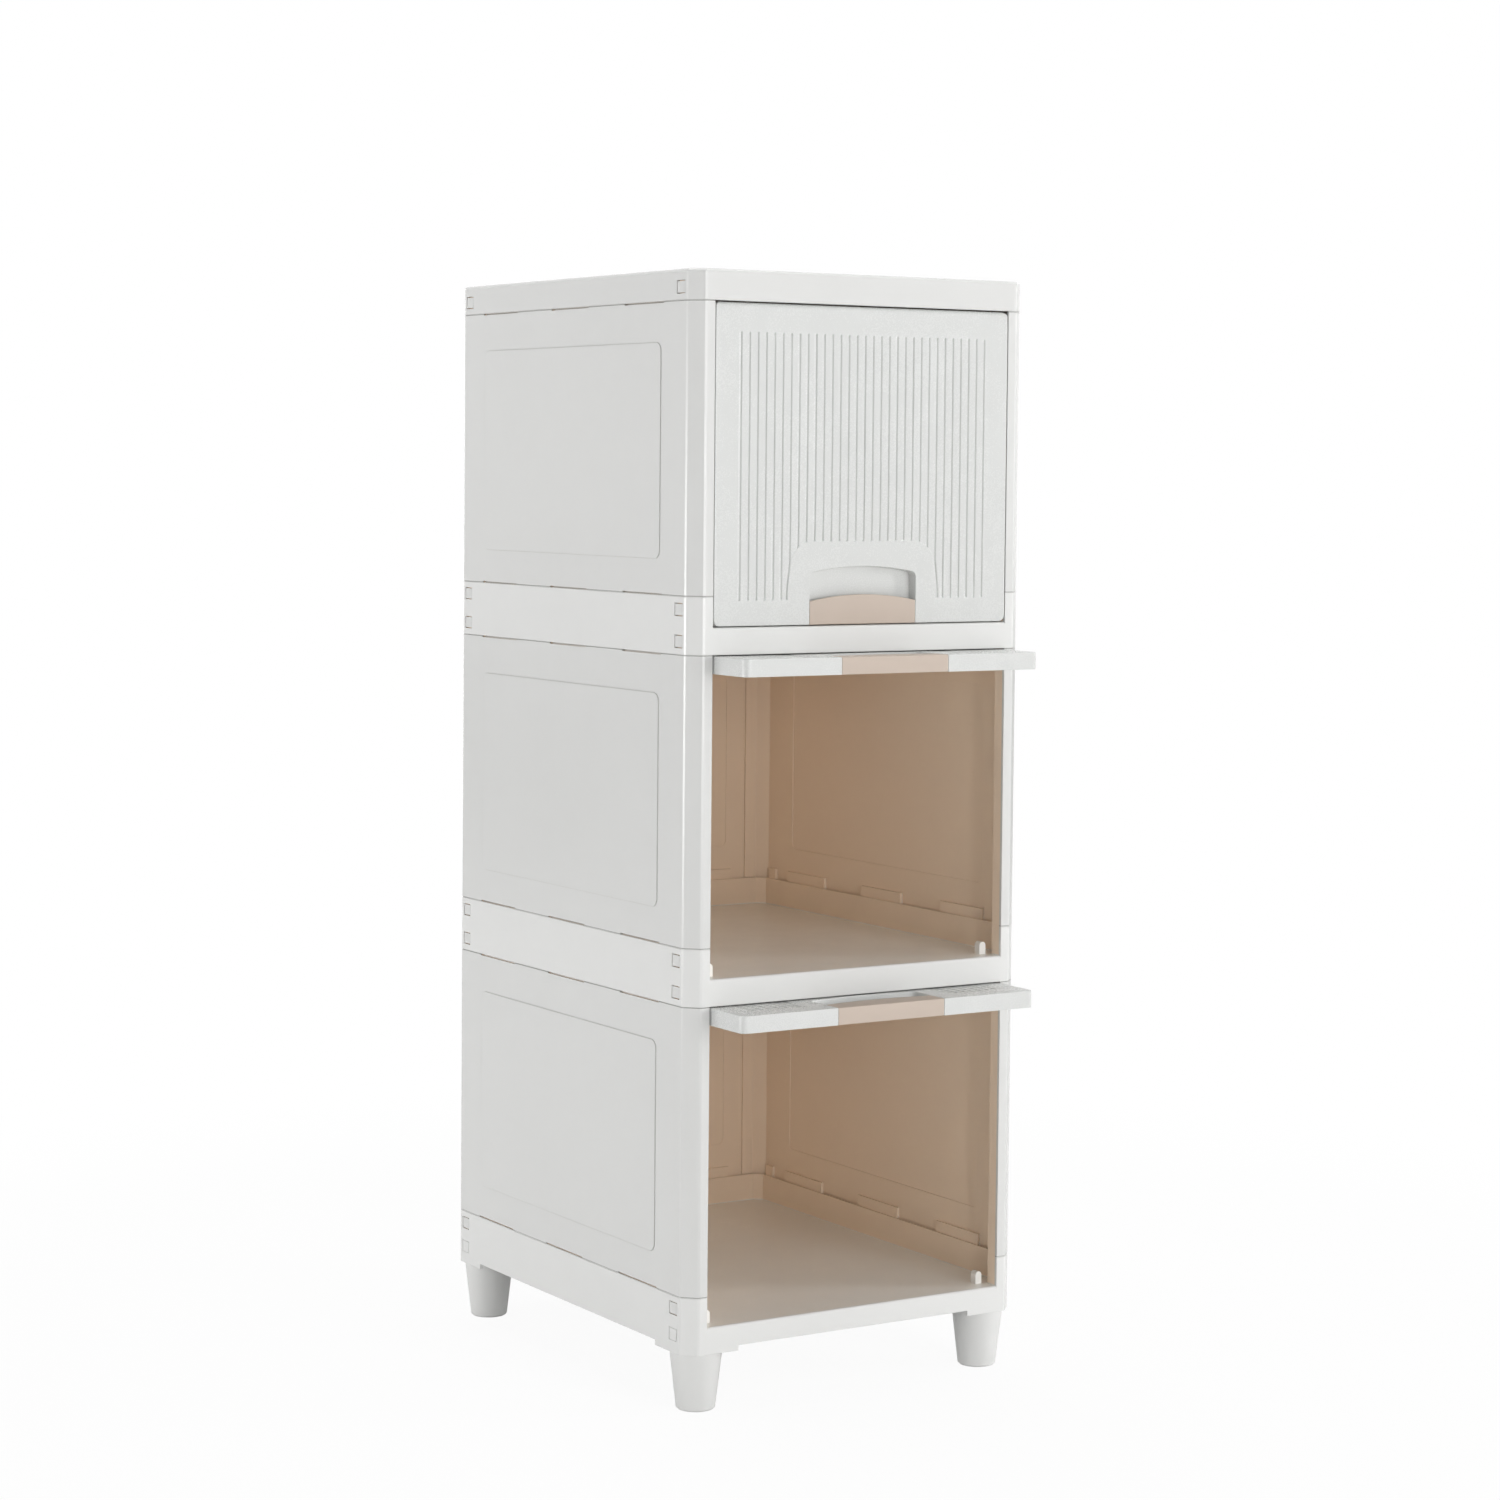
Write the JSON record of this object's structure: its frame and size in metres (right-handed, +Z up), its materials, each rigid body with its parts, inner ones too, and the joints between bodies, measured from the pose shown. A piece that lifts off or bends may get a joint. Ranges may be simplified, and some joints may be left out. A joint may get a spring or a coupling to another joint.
{
  "type": "stackable storage cabinet",
  "caption": "Tall stackable plastic storage cabinet on tapered feet, with reeded doors that flip up and slide in under each ceiling, and recessed taupe grips.",
  "frame": {"origin": "on the floor under the middle of the object's bounding box, with the top door closed and the two lower doors open as stored", "axes": "+Z up, the doors face -Y, +X to the right of someone facing the doors"},
  "size_m": [0.3716, 0.5158, 1.0435],
  "materials": {
    "shell": "white moulded polypropylene, satin gloss",
    "door": "white moulded polypropylene, satin gloss",
    "grip": "taupe moulded plastic, matt",
    "pin": "plain steel pin",
    "shoe": "natural acetal",
    "foot": "white moulded polypropylene, satin gloss"
  },
  "bodies": {
    "cabinet": {"top_cover": "shell", "left_panel_top": "shell", "left_panel_middle": "shell", "left_panel_bottom": "shell", "right_panel_top": "shell", "right_panel_middle": "shell", "right_panel_bottom": "shell", "back_panel_top": "shell", "back_panel_middle": "shell", "back_panel_bottom": "shell", "upper_shelf_frame": "shell", "lower_shelf_frame": "shell", "base_frame": "shell", "foot_front_left": "foot", "foot_front_right": "foot", "foot_back_left": "foot", "foot_back_right": "foot"},
    "carriage_top": {"guide_shoes_top": "shoe"},
    "door_top": {"door_top": "door", "door_grip_top": "grip", "hinge_pins_top": "pin"},
    "carriage_middle": {"guide_shoes_middle": "shoe"},
    "door_middle": {"door_middle": "door", "door_grip_middle": "grip", "hinge_pins_middle": "pin"},
    "carriage_bottom": {"guide_shoes_bottom": "shoe"},
    "door_bottom": {"door_bottom": "door", "door_grip_bottom": "grip", "hinge_pins_bottom": "pin"}
  },
  "joints": [
    {"name": "door_top_slide", "type": "slide", "parent": "cabinet", "child": "carriage_top", "axis": [0, 1, 0], "range_m": [0, 0.21787]},
    {"name": "door_top_flip", "type": "hinge", "parent": "carriage_top", "child": "door_top", "pos_m": [0, -0.1929, 1.004], "axis": [-1, 0, 0], "range_deg": [0, 90]},
    {"name": "door_middle_slide", "type": "slide", "parent": "cabinet", "child": "carriage_middle", "axis": [0, 1, 0], "range_m": [-0.218, 0]},
    {"name": "door_middle_flip", "type": "hinge", "parent": "carriage_middle", "child": "door_middle", "pos_m": [0, 0.0251, 0.684], "axis": [-1, 0, 0], "range_deg": [-90, 0]},
    {"name": "door_bottom_slide", "type": "slide", "parent": "cabinet", "child": "carriage_bottom", "axis": [0, 1, 0], "range_m": [-0.218, 0]},
    {"name": "door_bottom_flip", "type": "hinge", "parent": "carriage_bottom", "child": "door_bottom", "pos_m": [0, 0.0251, 0.364], "axis": [-1, 0, 0], "range_deg": [-90, 0]}
  ],
  "couplings": [
    {"joint": "door_top_slide", "follows": "door_top_flip", "m_per_rad": 0.1387}
  ]
}
